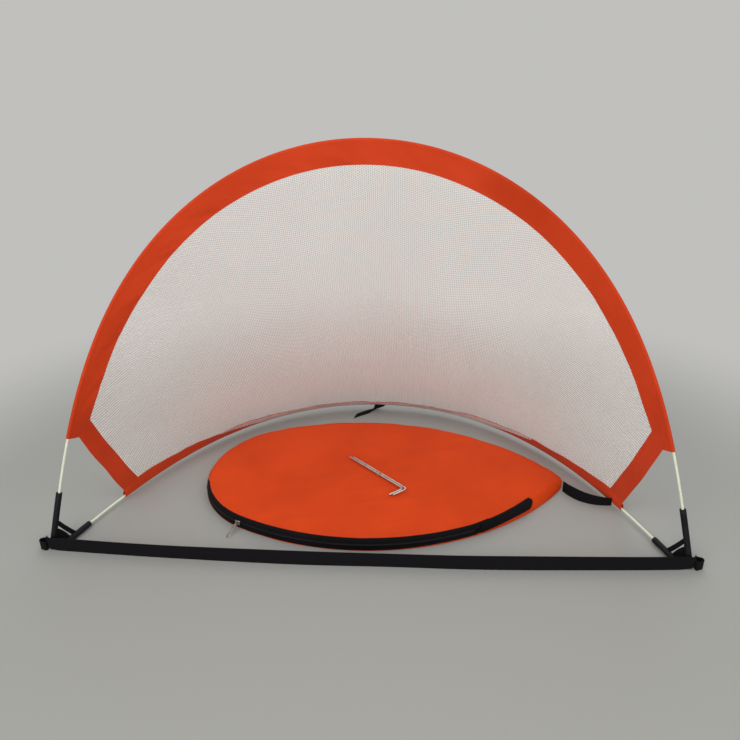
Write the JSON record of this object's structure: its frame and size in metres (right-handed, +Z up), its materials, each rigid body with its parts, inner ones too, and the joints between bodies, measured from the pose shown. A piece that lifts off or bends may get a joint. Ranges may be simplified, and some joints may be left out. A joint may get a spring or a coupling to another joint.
{
  "type": "folding soccer goal",
  "caption": "Folding training goal: two bowed rods pinned at the corners, a fine sewn net in orange sleeves, a webbing ground strap, and its zipped carry bag with ground pegs.",
  "frame": {"origin": "middle of the goal line, on the ground under the ground strap's mid line", "axes": "+X along the goal line to the right as seen from the front, +Y back away from the mouth, +Z up"},
  "size_m": [1.2478, 0.5958, 0.7346],
  "materials": {
    "orange_cloth": "woven",
    "bag_cloth": "woven",
    "net_mesh": "fine mesh",
    "fibreglass": "smooth",
    "black_plastic": "satin",
    "black_webbing": "woven",
    "zip_tape": "woven",
    "zip_coil": "satin",
    "chrome": "polished",
    "peg_steel": "bright",
    "tie_band": "matt"
  },
  "bodies": {
    "base": {"base_rod": "fibreglass", "base_sleeve": "orange_cloth", "net": "net_mesh", "corner_band_left": "orange_cloth", "corner_band_right": "orange_cloth", "base_tube_left": "black_plastic", "base_tube_right": "black_plastic", "corner_gusset_left": "black_webbing", "corner_gusset_right": "black_webbing", "stay_strap_left": "black_webbing", "stay_strap_right": "black_webbing", "peg_loop_left": "black_webbing", "peg_loop_right": "black_webbing", "ground_strap": "black_webbing", "back_tether": "black_webbing", "side_tether": "black_webbing"},
    "arch": {"front_rod": "fibreglass", "front_sleeve": "orange_cloth", "front_tube_left": "black_plastic", "front_tube_right": "black_plastic"},
    "bag": {"bag_bottom_panel": "bag_cloth", "bag_top_panel": "bag_cloth", "zip_tape_lower": "zip_tape", "zip_tape_upper": "zip_tape", "zip_chain": "zip_coil", "zip_stop": "chrome", "zip_tail": "zip_tape"},
    "zip_slider_body": {"zip_slider": "chrome"},
    "zip_puller_body": {"zip_ring": "chrome", "zip_puller": "chrome"},
    "pegs": {"peg_1": "peg_steel", "peg_2": "peg_steel", "peg_tie": "tie_band"}
  },
  "joints": [
    {"name": "arch_fold", "type": "hinge", "parent": "base", "child": "arch", "pos_m": [0, 0.024, 0.00605], "axis": [-1, 0, 0], "range_deg": [0, 66], "stiffness_Nm_per_rad": 1, "springref_deg": -45.84, "deforming": ["net", "corner_band_left", "corner_band_right", "stay_strap_left", "stay_strap_right", "corner_gusset_left", "corner_gusset_right"]},
    {"name": "bag_lift", "type": "slide", "parent": "base", "child": "bag", "axis": [0, -0.7071, 0.7071], "range_m": [0, 0.2]},
    {"name": "zip_run", "type": "hinge", "parent": "bag", "child": "zip_slider_body", "pos_m": [-0.01379, 0.56041, 0.0135], "axis": [0, 0, 1], "range_deg": [0, 52]},
    {"name": "puller_swing", "type": "hinge", "parent": "zip_slider_body", "child": "zip_puller_body", "pos_m": [-0.25701, 0.09554, 0.0135], "axis": [-0.8854, 0.4648, 0], "range_deg": [0, 75]},
    {"name": "peg_lift", "type": "slide", "parent": "bag", "child": "pegs", "axis": [0, 0, 1], "range_m": [0, 0.1]}
  ]
}
